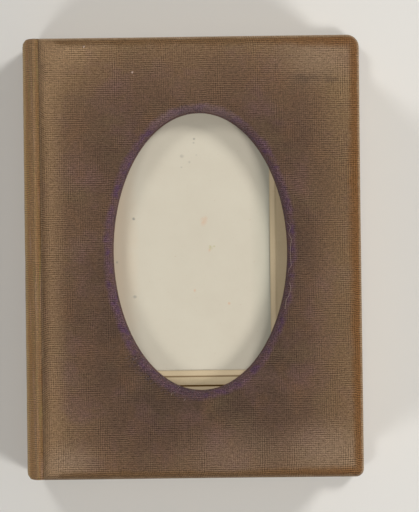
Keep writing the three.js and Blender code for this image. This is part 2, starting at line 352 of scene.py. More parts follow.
def world_and_floor():
    """A pale plain floor, and a world that looks white and adds a little soft light."""
    world = bpy.data.worlds.new("studio")
    bpy.context.scene.world = world
    world.use_nodes = True
    tree = world.node_tree
    tree.nodes.clear()
    path = tree.nodes.new("ShaderNodeLightPath")
    seen = tree.nodes.new("ShaderNodeMath")
    seen.operation = "MAXIMUM"
    tree.links.new(path.outputs["Is Camera Ray"], seen.inputs[0])
    tree.links.new(path.outputs["Is Glossy Ray"], seen.inputs[1])
    backdrop = tree.nodes.new("ShaderNodeBackground")
    backdrop.inputs["Color"].default_value = (0.9, 0.89, 0.87, 1)
    fill = tree.nodes.new("ShaderNodeBackground")
    fill.inputs["Color"].default_value = (0.96, 0.98, 1, 1)
    fill.inputs["Strength"].default_value = 0.16
    choice = tree.nodes.new("ShaderNodeMixShader")
    tree.links.new(seen.outputs[0], choice.inputs[0])
    tree.links.new(fill.outputs[0], choice.inputs[1])
    tree.links.new(backdrop.outputs[0], choice.inputs[2])
    output = tree.nodes.new("ShaderNodeOutputWorld")
    tree.links.new(choice.outputs[0], output.inputs[0])

    mesh = bpy.data.meshes.new("floor")
    corners = [(x * FLOOR_HALF, y * FLOOR_HALF, 0) for x, y in ((-1, -1), (1, -1), (1, 1), (-1, 1))]
    mesh.from_pydata(corners, [], [(0, 1, 2, 3)])
    floor = bpy.data.objects.new("floor", mesh)
    floor.location.z = FLOOR_LEVEL
    bpy.context.collection.objects.link(floor)
    paint = Nodes("floor_paint")
    paint.shader.inputs["Base Color"].default_value = linear(226, 223, 217)
    paint.shader.inputs["Roughness"].default_value = 0.85
    mesh.materials.append(paint.material)


def wobble(phase, seed, terms):
    """A smooth closed wave between about -1 and 1 round a phase from 0 to 2 pi."""
    random = np.random.default_rng(seed)
    total = np.zeros_like(phase)
    for order in range(1, terms + 1):
        total += np.sin(order * phase + random.uniform(0, 2 * np.pi)) * random.uniform(0.4, 1) / order
    return total / 1.6


def value_noise(x, y, cell, seed):
    """Smooth noise from -1 to 1 over the plane, with features about a cell wide."""
    random = np.random.default_rng(seed)
    table = random.uniform(-1, 1, (64, 64))
    column, row = np.asarray(x) / cell, np.asarray(y) / cell
    left, below = np.floor(column).astype(int), np.floor(row).astype(int)
    across, up = smooth(0, 1, column - left), smooth(0, 1, row - below)

    def corner(i, j):
        return table[(left + i) % 64, (below + j) % 64]
    low = corner(0, 0) * (1 - across) + corner(1, 0) * across
    high = corner(0, 1) * (1 - across) + corner(1, 1) * across
    return low * (1 - up) + high * up


def cover_outline(worn_corner, inset=0.0):
    """Points round a cover's edge, anticlockwise and drawn in by an inset, and the outward
    direction at each. Every inset gives the same number of points."""
    arcs = []
    for index, (x, y, side, end, radius) in enumerate((
        (COVER_RIGHT, COVER_TAIL, 1, -1, CORNER_RADIUS),
        (COVER_RIGHT, COVER_HEAD, 1, 1, worn_corner),
        (COVER_LEFT, COVER_HEAD, -1, 1, HINGE_CORNER_RADIUS),
        (COVER_LEFT, COVER_TAIL, -1, -1, HINGE_CORNER_RADIUS),
    )):
        left = max(radius - inset, SMALLEST_RADIUS)
        centre = np.array([x - side * (inset + left), y - end * (inset + left)])
        angles = math.radians(90 * index - 90) + np.linspace(0, math.pi / 2, CORNER_STEPS + 1)
        directions = np.stack([np.cos(angles), np.sin(angles)], 1)
        arcs.append((centre + left * directions, directions))
    points, directions = [], []
    for index, (arc, arc_directions) in enumerate(arcs):
        points.append(arc)
        directions.append(arc_directions)
        following = arcs[(index + 1) % 4][0][0]
        steps = HEIGHT_STEPS if index % 2 == 0 else WIDTH_STEPS
        shares = (np.arange(1, steps) / steps)[:, None]
        points.append(arc[-1] + (following - arc[-1]) * shares)
        directions.append(np.repeat(arc_directions[-1:], steps - 1, axis=0))
    return np.concatenate(points), np.concatenate(directions)


def add_mesh(name, vertices, faces, attributes, material):
    """A smooth-shaded mesh object with named point attributes."""
    mesh = bpy.data.meshes.new(name)
    mesh.from_pydata([tuple(v) for v in vertices], [], faces)
    mesh.validate()
    piece = bpy.data.objects.new(name, mesh)
    bpy.context.collection.objects.link(piece)
    for key, values in attributes.items():
        values = np.asarray(values, np.float32)
        kind = "FLOAT_VECTOR" if values.ndim == 2 else "FLOAT"
        field = "vector" if values.ndim == 2 else "value"
        mesh.attributes.new(key, kind, "POINT").data.foreach_set(field, values.ravel())
    mesh.polygons.foreach_set("use_smooth", np.ones(len(mesh.polygons), bool))
    mesh.materials.append(material)
    mesh.update()
    return piece


def ring_faces(rows, columns, closed_rows):
    """Quads of a grid that closes round its columns and, if asked, round its rows too."""
    faces = []
    for row in range(rows if closed_rows else rows - 1):
        below, above = row * columns, ((row + 1) % rows) * columns
        for column in range(columns):
            after = (column + 1) % columns
            faces.append((below + column, below + after, above + after, above + column))
    return faces


class CoverShape:
    """Plan of one cover: its edge, and the window's oval matched to it column by column."""

    def __init__(self, worn_corner, window_scale):
        self.worn_corner = worn_corner
        self.edge, self.out = cover_outline(worn_corner)
        centre = np.array(WINDOW_CENTRE)
        half = np.array([WINDOW_HALF_WIDTH, WINDOW_HALF_HEIGHT]) * window_scale
        scaled = (self.edge - centre) / half
        angle = np.arctan2(scaled[:, 1], scaled[:, 0])
        self.oval = centre + half * np.stack([np.cos(angle), np.sin(angle)], 1)
        normal = np.stack([np.cos(angle) / half[0], np.sin(angle) / half[1]], 1)
        self.oval_out = normal / np.linalg.norm(normal, axis=1, keepdims=True)
        self.spine_side = smooth(0.5, 0.95, -self.out[:, 0])

    def from_edge(self, inset, inset_at_spine=None):
        """The edge drawn in by an inset, which may differ on the side next to the spine."""
        elsewhere = cover_outline(self.worn_corner, inset)[0]
        if inset_at_spine is None:
            return elsewhere
        beside = cover_outline(self.worn_corner, inset_at_spine)[0]
        return elsewhere + (beside - elsewhere) * self.spine_side[:, None]

    def from_oval(self, distance):
        return self.oval + self.oval_out * distance


def window_rows(add, shape, top):
    """The window's wall from its foot up, then its rolled rim."""
    for share in np.linspace(0, 1, 7)[:-1]:
        height = RIM_FOOT + (top - COVER_ROUNDING - RIM_FOOT) * share
        depth = COVER_ROUNDING * (math.pi / 2 - 1) + (top - COVER_ROUNDING - height)
        add(shape.from_oval(0), height, FAR, -depth, shape.from_oval(-depth))
    for angle in np.linspace(0, math.pi / 2, 13)[:-1]:
        out = COVER_ROUNDING * (1 - math.cos(angle))
        flat = COVER_ROUNDING * (1 + angle - math.pi / 2)
        height = top - COVER_ROUNDING + COVER_ROUNDING * math.sin(angle)
        add(shape.from_oval(out), height, FAR, out, shape.from_oval(flat))


def face_rows(add, shape, top, has_window):
    """The cover's face from the window out: crowned and uneven in front, nearly flat behind."""
    inner = shape.from_oval(COVER_ROUNDING if has_window else 0)
    outer = shape.from_edge(COVER_ROUNDING)
    gap = np.linalg.norm(outer - inner, axis=1)
    for share in np.linspace(0, 1, 49):
        plan = inner + (outer - inner) * share
        crown = CROWN * math.sin(math.pi * share) ** 0.7
        ripple = value_noise(plan[:, 0] + 1, plan[:, 1] + 1, 14 * MM, 3) * 0.1 * MM
        ripple += value_noise(plan[:, 0] + 1, plan[:, 1] + 1, 5 * MM, 4) * 0.05 * MM
        raised = (crown + ripple) if has_window else np.minimum(ripple * 0.5 - 0.08 * MM, 0)
        add(plan, top + raised, COVER_ROUNDING + gap * (1 - share), COVER_ROUNDING + gap * share, plan)


def edge_rows(add, shape, top):
    """The rounded edge, the side and the turn-in, with the cloth's length run on over them."""
    rounding = COVER_ROUNDING
    for angle in np.linspace(0, math.pi / 2, 13)[1:]:
        inset = rounding * (1 - math.sin(angle))
        add(shape.from_edge(inset), top - rounding + rounding * math.cos(angle), inset, FAR,
            shape.from_edge(rounding) + shape.out * rounding * angle)
    beyond = rounding * (math.pi / 2 - 1)
    for share in np.linspace(0, 1, 5)[1:]:
        drop = (top - 2 * rounding) * share
        add(shape.edge, top - rounding - drop, 0, FAR, shape.edge + shape.out * (beyond + drop))
    beyond += top - 2 * rounding
    foot = LINING_LEVEL * shape.spine_side
    for angle in np.linspace(0, math.pi / 2, 9)[1:]:
        inset = rounding * (1 - math.cos(angle))
        height = foot + (rounding - foot) * (1 - math.sin(angle))
        add(shape.from_edge(inset, inset * SPINE_SIDE_SHARE), height, 0, FAR,
            shape.edge + shape.out * (beyond + rounding * angle))
    beyond += rounding * math.pi / 2
    for share in (0.35, 0.7, 1.0):
        reach = rounding + (TURN_IN_WIDTH - rounding) * share
        add(shape.from_edge(reach, SPINE_SIDE_TURN_IN), foot, 0, FAR,
            shape.edge + shape.out * (beyond + share * MM))
    add(shape.from_edge(TURN_IN_WIDTH, SPINE_SIDE_TURN_IN), TURN_IN_THICKNESS, 0, FAR,
        shape.edge + shape.out * (beyond + 2 * MM))


def board_rows(add, shape, top, has_window):
    """The cloth's hidden side, back along the board to the window's foot."""
    wall = PLUSH_THICKNESS
    bend = 0.4 * MM
    for share in (0.25, 0.75):
        height = TURN_IN_THICKNESS + (top - wall - bend / 2 - TURN_IN_THICKNESS) * share
        add(shape.from_edge(wall), height, 0, FAR, shape.from_edge(-4 * MM))
    start = shape.from_oval(wall + bend if has_window else 0)
    finish = shape.from_edge(wall + bend)
    for share in (1.0, 0.75, 0.5, 0.25, 0.0):
        add(start + (finish - start) * share, top - wall, FAR, FAR, start)
    if has_window:
        add(shape.from_oval(wall), top - wall - 1.5 * bend, FAR, 0, shape.oval)
        add(shape.from_oval(wall), RIM_FOOT, FAR, 0, shape.oval)


def cover_plush(name, material, edge_z, facing, has_window):
    """The plush of one cover as a closed cloth: window wall, rolled rim, face, rounded edges,
    turn-in, and back along the board."""
    shape = CoverShape(WORN_CORNER_RADIUS if has_window else CORNER_RADIUS,
                       1 if has_window else BLIND_WINDOW_SCALE)
    columns = len(shape.edge)
    top = COVER_TOP - COVER_EDGE
    rows = []

    def spread(value):
        return np.broadcast_to(value, columns).astype(float)

    def add(plan, height, inset, rim, cloth):
        rows.append((plan, spread(height), spread(inset), spread(rim), cloth))

    if has_window:
        window_rows(add, shape, top)
    face_rows(add, shape, top, has_window)
    edge_rows(add, shape, top)
    board_rows(add, shape, top, has_window)

    phase = np.linspace(0, 2 * np.pi, columns, endpoint=False)
    sway = wobble(phase, 11, 9) * EDGE_SWAY * (1 - shape.spine_side)
    vertices, inset, rim, cloth = [], [], [], []
    for plan, height, row_inset, row_rim, row_cloth in rows:
        near_edge = smooth(12 * MM, 0, row_inset) * sway
        plan = plan + shape.out * near_edge[:, None]
        vertices.append(np.column_stack([plan, edge_z + facing * height]))
        inset.append(row_inset)
        rim.append(row_rim)
        cloth.append(np.column_stack([row_cloth, np.zeros(columns)]))
    vertices, cloth = np.concatenate(vertices), np.concatenate(cloth)
    inset, rim = np.concatenate(inset) / MM, np.concatenate(rim) / MM
    faces = ring_faces(len(rows), columns, has_window)
    if not has_window:
        for first in (0, (len(rows) - 1) * columns):
            centre = len(vertices)
            vertices = np.vstack([vertices, vertices[first:first + columns].mean(0)])
            cloth = np.vstack([cloth, cloth[first:first + columns].mean(0)])
            inset, rim = np.append(inset, FAR / MM), np.append(rim, FAR / MM)
            faces += [(first + c, first + (c + 1) % columns, centre) for c in range(columns)]
    return add_mesh(name, vertices, faces, {"cloth": cloth, "inset": inset, "rim": rim}, material)


def outward_normals(piece):
    """Turn every face of a closed mesh to look outwards."""
    work = bmesh.new()
    work.from_mesh(piece.data)
    bmesh.ops.recalc_face_normals(work, faces=work.faces)
    work.to_mesh(piece.data)
    work.free()


def weave(nodes, cloth):
    """Worn pile on its ground weave. Rows show in some patches and columns in others."""
    axes = nodes.split(cloth)
    drift = nodes.times(nodes.swing(cloth, 70, 3), 1.5 * MM)
    row_phase = nodes.times(nodes.plus(axes[1], drift), 2 * math.pi / ROW_PITCH)
    column_phase = nodes.times(nodes.plus(axes[0], drift), 2 * math.pi / COLUMN_PITCH)
    rows_show = nodes.ramp(nodes.noise(nodes.stretch(cloth, (0.5, 1.5, 1.0)), 95, 4, 0.6),
                           [(0.38, 0.1), (0.60, 1.0)])
    columns_show = nodes.ramp(nodes.noise(nodes.stretch(cloth, (1.5, 0.5, 1.0)), 110, 4, 0.6),
                              [(0.45, 0.05), (0.68, 0.8)])
    row = nodes.times(nodes.math("SINE", row_phase), rows_show)
    column = nodes.times(nodes.math("SINE", column_phase), columns_show)
    threads = nodes.noise(nodes.stretch(cloth, (0.4, 1.0, 1.0)), 1700, 3, 0.7)
    pile = nodes.noise(cloth, 2300, 3, 0.7)
    loose = nodes.times(nodes.minus(threads, 0.5), 0.6)
    grain = nodes.plus(nodes.minus(pile, 0.5), loose)
    grid = nodes.scaled(nodes.plus(row, column), 0.36, 0.5)
    level = nodes.scaled(grain, 1.9, grid, clamp=True)
    return level, pile


def weave_light_and_shade(nodes, base, level, highlight_gain, shade_gain):
    """A colour with a painted highlight on the weave's raised threads and painted shade in the gaps
    between them.
    """
    # Painted highlight on the raised threads and painted shade in the gaps: lit and shaded copies of the
    # base.
    raised = nodes.mix(1.0, base, (*highlight_gain, 1), "MULTIPLY")
    sunk = nodes.mix(1.0, base, (*shade_gain, 1), "MULTIPLY")
    return nodes.mix(level, sunk, raised)


def from_spine(nodes, cloth):
    """How far a point lies from the cover's side next to the spine, 1 at 10 mm."""
    return nodes.over(nodes.minus(nodes.split(cloth)[0], COVER_LEFT), 10 * MM)


def worn_ground(nodes, cloth, broad):
    """Brown in the middle and tan towards the edges, with patches, a paler crest beside the
    groove, and an olive tint towards the fore edge."""
    axes = nodes.split(cloth)
    across = nodes.over(nodes.minus(axes[0], WINDOW_CENTRE[0]), 54 * MM)
    along = nodes.over(nodes.plus(axes[1], 6 * MM), 78 * MM)
    reach = nodes.plus(nodes.math("POWER", nodes.math("ABSOLUTE", across), 3.2),
                       nodes.math("POWER", nodes.math("ABSOLUTE", along), 3.2))
    wear = nodes.plus(nodes.minus(broad, 0.5), reach)
    base = nodes.ramp(nodes.over(wear, 1.6), [
        (0.06, linear(80, 62, 50)),
        (0.24, linear(95, 73, 57)),
        (0.46, linear(109, 85, 64)),
        (0.66, linear(122, 97, 71)),
        (0.90, linear(142, 115, 86)),
    ])
    for scale, stretch, low, high, strength, tone in (
        (62, (1.0, 1.0, 1.0), 0.50, 0.70, 0.40, linear(104, 77, 78)),
        (110, (1.0, 0.7, 1.0), 0.50, 0.75, 0.40, linear(116, 85, 60)),
        (71, (0.8, 1.1, 1.0), 0.50, 0.75, 0.35, linear(106, 90, 64)),
        (150, (0.5, 1.4, 1.0), 0.52, 0.72, 0.40, linear(96, 75, 60)),
    ):
        patch = nodes.noise(nodes.stretch(cloth, stretch), scale, 4, 0.6)
        base = nodes.mix(nodes.ramp(patch, [(low, 0.0), (high, strength)]), base, tone)
    crest = nodes.ramp(from_spine(nodes, cloth), [(0.15, 0.0), (0.35, 0.6), (0.5, 0.5), (0.9, 0.0)])
    base = nodes.mix(crest, base, linear(136, 109, 80))
    olive = nodes.ramp(nodes.over(axes[0], COVER_RIGHT), [(0.68, 0.0), (0.86, 0.3)])
    return nodes.mix(olive, base, linear(118, 95, 66))


def pale_spots(nodes, base, cloth, broad):
    """Greyer places where the front cover is rubbed."""
    flattened = nodes.stretch(cloth, (1.0, PALE_SPOT_STRETCH, 1.0))
    for across, along, radius, strength in PALE_SPOTS:
        spot = nodes.distance(flattened, (across, along * PALE_SPOT_STRETCH, 0))
        uneven = nodes.scaled(nodes.minus(broad, 0.5), 14 * MM, spot)
        share = nodes.ramp(nodes.over(uneven, radius), [(0.0, strength), (1.0, 0.0)], "EASE")
        base = nodes.mix(share, base, linear(138, 115, 94))
    return base


def rubbed_and_shaded_edges(nodes, base, cloth):
    """Orange-brown bands along the edges, partly rubbed plush and partly painted shade on the
    rounded edges, a pale frayed line outside them, and an edge darker towards the tail."""
    axes = nodes.split(cloth)
    inset = nodes.attribute("inset")
    fray = nodes.swing(cloth, 260, 3)
    reach_in = nodes.swing(cloth, 55, 3)
    band = nodes.scaled(reach_in, 2.4, nodes.scaled(fray, 2.2, inset))
    fore_edge = nodes.ramp(nodes.over(axes[0], COVER_RIGHT), [(0.3, 0.0), (0.9, 1.0)])
    share = nodes.over(band, nodes.scaled(fore_edge, 2.0, 4.5))
    # The orange-brown band is rubbed plush, made darker on the rounded edge as painted shade.
    rubbed_and_shaded = nodes.ramp(share, [(0.0, 0.3), (0.06, 0.6), (0.14, 0.95), (0.42, 0.8), (0.75, 0.0)])
    beside_spine = nodes.ramp(from_spine(nodes, cloth), [(0.56, 0.75), (0.8, 0.0)])
    rubbed_and_shaded = nodes.times(rubbed_and_shaded, nodes.minus(1.0, beside_spine))
    base = nodes.mix(rubbed_and_shaded, base, nodes.mix(fore_edge, linear(103, 77, 50), linear(110, 75, 42)))
    worn_line = nodes.scaled(fray, 0.7, inset)
    frayed = nodes.ramp(nodes.over(worn_line, 8.0), [(0.0, 0.9), (0.05, 0.75), (0.12, 0.0)])
    base = nodes.mix(frayed, base, linear(146, 123, 96))
    # Darker towards the tail edge.
    darker_at_tail = nodes.ramp(nodes.over(axes[1], COVER_TAIL), [(0.975, 0.0), (1.0, 0.5)])
    return nodes.mix(darker_at_tail, base, linear(84, 66, 50))


def plush_material(name, has_window):
    """Old silk plush, worn to its backing: tan and brown, with purple left in patches."""
    nodes = Nodes(name)
    cloth = nodes.attribute("cloth", "Vector")
    level, pile = weave(nodes, cloth)
    broad = nodes.noise(cloth, 30, 4, 0.6)
    base = worn_ground(nodes, cloth, broad)
    if has_window:
        base = pale_spots(nodes, base, cloth, broad)
    base = rubbed_and_shaded_edges(nodes, base, cloth)
    if has_window:
        base = rim_colour(nodes, base, cloth, pile)
    # The weave's threads get a painted highlight and the gaps between them get painted shade.
    colour = weave_light_and_shade(nodes, base, level, (1.62, 1.64, 1.68), (0.38, 0.36, 0.33))
    return plush_finish(nodes, colour, level, pile)


def spine_material(name):
    """The spine's plush: pale on the outside, rubbed orange-brown, tan on the crest, brown in the groove.
    """
    nodes = Nodes(name)
    cloth = nodes.attribute("cloth", "Vector")
    across = nodes.attribute("across")
    level, pile = weave(nodes, cloth)
    jitter = nodes.swing(cloth, 130, 4)
    place = nodes.scaled(jitter, 0.8, across)
    base = nodes.ramp(nodes.over(nodes.plus(place, 4.2), 6.0), [
        (0.0, linear(156, 137, 109)),
        (0.10, linear(155, 129, 86)),
        (0.24, linear(133, 98, 58)),
        (0.40, linear(132, 101, 67)),
        (0.56, linear(142, 112, 81)),
        (0.70, linear(134, 106, 76)),
        (0.80, linear(128, 98, 66)),
        (0.92, linear(126, 96, 64)),
    ])
    patch = nodes.ramp(nodes.noise(nodes.stretch(cloth, (1.0, 0.35, 1.0)), 60, 3),
                       [(0.42, 0.0), (0.7, 0.45)])
    base = nodes.mix(patch, base, linear(126, 103, 78))
    for scale, low, tone in ((700, 0.52, linear(122, 108, 66)), (900, 0.55, linear(126, 86, 56)),
                             (520, 0.55, linear(150, 122, 104))):
        streak = nodes.noise(nodes.stretch(cloth, (1.0, 0.07, 1.0)), scale, 3, 0.6)
        base = nodes.mix(nodes.ramp(streak, [(low, 0.0), (low + 0.14, 0.6)]), base, tone)
    # The weave's threads get a painted highlight and the gaps between them get painted shade.
    colour = weave_light_and_shade(nodes, base, level, (1.56, 1.54, 1.48), (0.50, 0.49, 0.50))
    return plush_finish(nodes, colour, level, pile)


def from_pixel(x, y):
    """The place on the album, in metres, of a pixel of the photograph."""
    return (x - ALBUM_CENTRE_PX[0]) * MM_PER_PX * MM, (ALBUM_CENTRE_PX[1] - y) * MM_PER_PX * MM


def card_stains():
    """Places of the card's stains in metres, with radius, strength and colour."""
    grey, rust, green = linear(150, 146, 134), linear(206, 160, 124), linear(180, 172, 124)
    spots = []
    for x, y, radius, strength, tone in (
        (195, 139, 0.5, 0.9, grey), (194.6, 143, 0.5, 0.7, grey), (182, 156, 0.9, 0.5, grey),
        (197, 155, 0.6, 0.45, grey), (190, 162, 0.6, 0.4, grey), (182, 167, 0.6, 0.4, grey),
        (204, 220, 1.5, 0.32, rust), (203, 224, 1.1, 0.25, rust), (210, 247, 1.0, 0.7, green),
        (214, 246, 0.7, 0.7, green), (209, 250, 0.6, 0.5, rust), (194, 290, 0.6, 0.5, rust),
        (228, 303, 0.6, 0.5, rust), (134, 218, 0.6, 0.9, grey), (117, 261, 0.6, 0.9, grey),
        (134, 295, 0.8, 0.6, grey),
    ):
        spots.append((*from_pixel(x, y), radius * MM, strength, tone))
    return spots


def card_material():
    """Old cream card with foxing and grey specks, painted grey shadow along its right margin and painted
    warm reflected light along its left margin.
    """
    nodes = Nodes("card")
    place = nodes.place()
    axes = nodes.split(place)
    mottle = nodes.noise(place, 60, 4, 0.6)
    colour = nodes.ramp(mottle, [(0.3, linear(202, 193, 174)), (0.7, linear(207, 199, 180))])
    fibre = nodes.noise(nodes.stretch(place, (1.0, 0.4, 1.0)), 2600, 3, 0.6)
    colour = nodes.mix(nodes.times(fibre, 0.12), colour, linear(186, 174, 150))
    uneven = nodes.swing(place, 500, 3, 0.7)
    # Painted shadow: a grey-green tint along the right margin, where the rim's shadow falls.
    right_margin = nodes.minus(LEAF_WINDOW_CENTRE[0] + LEAF_WINDOW_HALF[0], axes[0])
    right_painted_shadow = nodes.ramp(nodes.over(right_margin, 7 * MM), [(0.0, 0.5), (0.3, 0.3), (1.0, 0.0)])
    colour = nodes.mix(right_painted_shadow, colour, linear(156, 158, 140))
    # Painted reflected light: a warm tint in the shade along the left margin, for light thrown back from
    # the plush.
    left_margin = nodes.minus(axes[0], LEAF_WINDOW_CENTRE[0] - LEAF_WINDOW_HALF[0])
    wavy = nodes.scaled(nodes.minus(mottle, 0.5), 8 * MM, left_margin)
    left_painted_bounce_light = nodes.ramp(nodes.over(wavy, 10 * MM), [(0.0, 0.6), (0.4, 0.4), (1.0, 0.0)])
    colour = nodes.mix(left_painted_bounce_light, colour, linear(216, 190, 158))
    face = HIGH["window_card"][2]
    for across, along, radius, strength, tone in card_stains():
        ratio = nodes.over(nodes.distance(place, (across, along, face)), radius)
        ragged = nodes.scaled(uneven, 2.4, ratio)
        share = nodes.ramp(ragged, [(0.1, strength), (1.0, 0.0)], "EASE")
        colour = nodes.mix(share, colour, tone)
    specks = nodes.ramp(nodes.noise(place, 900, 2, 0.5), [(0.70, 0.0), (0.78, 0.25)])
    colour = nodes.mix(specks, colour, linear(176, 150, 122))
    return nodes.finish(colour, 0.75, 0.25, nodes.bump(fibre, 0.02 * MM, 0.4))


def box_distance(nodes, place, centre, half):
    """Distance in the plane from a box's edge, negative inside it."""
    axes = nodes.split(place)
    outside = []
    for axis in range(2):
        away = nodes.math("ABSOLUTE", nodes.minus(axes[axis], centre[axis]))
        outside.append(nodes.minus(away, half[axis]))
    beyond = [nodes.math("MAXIMUM", value, 0.0) for value in outside]
    length = nodes.math("SQRT", nodes.plus(nodes.math("POWER", beyond[0], 2.0),
                                           nodes.math("POWER", beyond[1], 2.0)))
    within = nodes.math("MINIMUM", nodes.math("MAXIMUM", outside[0], outside[1]), 0.0)
    return nodes.plus(length, within)


def leaf_window_marks(nodes, colour, axes, out):
    """The paler bevel of the leaf's window with painted contact shadow at its foot, the line drawn
    outside it, darkest at the tail, and brown painted round the slit as its shade. The distance outside
    the window is in millimetres."""
    share = nodes.over(out, 4.0)
    bevel = nodes.ramp(share, [(0.0, 1.0), (0.40, 1.0), (0.44, 0.0)])
    colour = nodes.mix(nodes.times(bevel, 0.6), colour, linear(198, 178, 146))
    # Painted contact shadow along the foot of the bevel, where it meets the card.
    foot = nodes.ramp(share, [(0.0, 0.45), (0.12, 0.0)])
    colour = nodes.mix(foot, colour, linear(150, 138, 112))
    at_tail = nodes.ramp(nodes.scaled(axes[1], -1 / (100 * MM), 0.5),
                         [(0.86, 0.18), (0.89, 1.0)])
    line = nodes.ramp(share, [(0.44, 0.0), (0.48, 0.8), (0.57, 0.8), (0.61, 0.0)])
    colour = nodes.mix(nodes.times(line, at_tail), colour, linear(112, 86, 52))
    # Brown painted round the slit and on its walls as the slit's shade.
    along = nodes.math("ABSOLUTE", nodes.minus(axes[1], SLIT_PLACE))
    slit_painted_shade = nodes.ramp(nodes.over(along, MM), [(0.2, 1.0), (0.45, 0.0)])
    in_window = nodes.ramp(nodes.over(nodes.math("ABSOLUTE", axes[0]), 40 * MM),
                           [(0.7, 1.0), (0.72, 0.0)])
    return nodes.mix(nodes.times(slit_painted_shade, in_window), colour, linear(150, 110, 52))


def page_edges(nodes, colour, place, layers, out):
    """Browner paper in layers on the leaves' upright edges, away from the window."""
    normal = nodes.node("NewGeometry", {}, "Normal")
    flat = nodes.math("ABSOLUTE", nodes.split(normal)[2])
    upright = nodes.ramp(flat, [(0.3, 1.0), (0.6, 0.0)])
    tone = nodes.ramp(layers, [(0.3, linear(168, 145, 110)), (0.7, linear(198, 178, 142))])
    dirt = nodes.ramp(nodes.noise(place, 120, 4, 0.6), [(0.45, 0.0), (0.75, 0.35)])
    tone = nodes.mix(dirt, tone, linear(146, 120, 86))
    outside = nodes.ramp(nodes.over(out, 10.0), [(0.5, 0.0), (0.7, 1.0)])
    return nodes.mix(nodes.times(upright, outside), colour, tone)


def leaf_material():
    """Yellowed face paper of the leaves, marked round the window and browner at the edges."""
    nodes = Nodes("leaf")
    place = nodes.place()
    mottle = nodes.noise(place, 45, 5, 0.6)
    colour = nodes.ramp(mottle, [(0.3, linear(203, 183, 147)), (0.7, linear(212, 193, 158))])
    fibre = nodes.noise(nodes.stretch(place, (1.0, 0.5, 1.0)), 2400, 3, 0.6)
    colour = nodes.mix(nodes.times(fibre, 0.25), colour, linear(160, 136, 100))
    foxing = nodes.ramp(nodes.noise(place, 420, 3, 0.6), [(0.66, 0.0), (0.78, 0.3)])
    colour = nodes.mix(foxing, colour, linear(166, 128, 86))
    out = nodes.over(box_distance(nodes, place, LEAF_WINDOW_CENTRE, LEAF_WINDOW_HALF), MM)
    colour = leaf_window_marks(nodes, colour, nodes.split(place), out)
    layers = nodes.noise(nodes.stretch(place, (0.12, 0.12, 1.0)), 4200, 3, 0.6)
    colour = page_edges(nodes, colour, place, layers, out)
    surface = nodes.bump(layers, 0.05 * MM, 0.3, nodes.bump(fibre, 0.03 * MM, 0.4))
    return nodes.finish(colour, 0.8, 0.2, surface)


def paper_material(name, tone, shade, scale, cut_tone=None):
    """Plain aged paper or board with fibres, broad discolouring and a few dark specks, and with
    another tone where it's cut round the window, if one is given."""
    nodes = Nodes(name)
    place = nodes.place()
    mottle = nodes.noise(place, scale, 4, 0.6)
    colour = nodes.ramp(mottle, [(0.3, shade), (0.7, tone)])
    fibre = nodes.noise(nodes.stretch(place, (1.0, 0.35, 1.0)), 2600, 3, 0.6)
    colour = nodes.mix(nodes.times(fibre, 0.2), colour, shade)
    specks = nodes.ramp(nodes.noise(place, 700, 2, 0.5), [(0.68, 0.0), (0.78, 0.5)])
    colour = nodes.mix(specks, colour, linear(120, 92, 66))
    if cut_tone:
        axes = nodes.split(place)
        ratios = []
        for axis, half in ((0, WINDOW_HALF_WIDTH), (1, WINDOW_HALF_HEIGHT)):
            away = nodes.minus(axes[axis], WINDOW_CENTRE[axis])
            ratio = nodes.math("ABSOLUTE", nodes.over(away, half))
            ratios.append(nodes.math("POWER", ratio, 2.0))
        ring = nodes.math("SQRT", nodes.plus(*ratios))
        near = nodes.ramp(nodes.minus(ring, 0.5), [(0.52, 1.0), (0.535, 0.0)])
        colour = nodes.mix(near, colour, cut_tone)
    return nodes.finish(colour, 0.75, 0.25, nodes.bump(fibre, 0.03 * MM, 0.4))


def tuft_mesh(name, tufts, material):
    """Many small tapered tufts as one mesh: three-sided, drooping, pointed at the tip."""
    vertices, faces, tones = [], [], []
    for root, direction, length, width, tone in tufts:
        direction = direction / np.linalg.norm(direction)
        side = np.cross(direction, (0.31, 0.77, 0.55))
        side /= np.linalg.norm(side)
        other = np.cross(direction, side)
        first = len(vertices)
        for share, spread in ((0.0, 1.0), (0.5, 0.75)):
            centre = root + direction * length * share
            for turn in (0, 2 * math.pi / 3, 4 * math.pi / 3):
                offset = (side * math.cos(turn) + other * math.sin(turn)) * width * spread
                vertices.append(centre + offset)
        vertices.append(root + direction * length - np.array([0, 0, 0.25 * length]))
        for step in range(3):
            after = (step + 1) % 3
            faces.append((first + step, first + after, first + 3 + after, first + 3 + step))
            faces.append((first + 3 + step, first + 3 + after, first + 6))
        faces.append((first + 2, first + 1, first))
        tones += [tone] * 7
    return add_mesh(name, vertices, faces, {"tone": np.array(tones)}, material)


def tuft_material(name):
    """Surviving pile of the plush, purple, then browned, with bleached threads and lint."""
    nodes = Nodes(name)
    tone = nodes.attribute("tone")
    colour = nodes.ramp(tone, [
        (0.0, linear(60, 42, 48)), (0.3, linear(80, 58, 66)), (0.6, linear(101, 78, 82)),
        (0.75, linear(122, 98, 86)), (1.0, linear(196, 172, 156)),
    ])
    nodes.shader.inputs["Sheen Weight"].default_value = 0.25
    return nodes.finish(colour, 0.85, 0.15)


def thread_tufts():
    """The loose threads along the rim, each a chain of overlapping tufts."""
    tufts = []
    for start, finish, out in LOOSE_THREADS:
        steps = int(abs(finish - start) * 3)
        points = []
        for step in range(steps + 1):
            angle = math.radians(start + (finish - start) * step / steps)
            sway = float(value_noise(step * 0.13, start, 1.0, 9)) * 0.6 * MM
            points.append(on_rim(angle, out * MM + sway)[0] + np.array([0, 0, 0.08 * MM]))
        for first, second in zip(points, points[1:]):
            run = second - first
            tufts.append((first, run, np.linalg.norm(run) * 1.8, 0.08 * MM, 0.88))
    return tufts


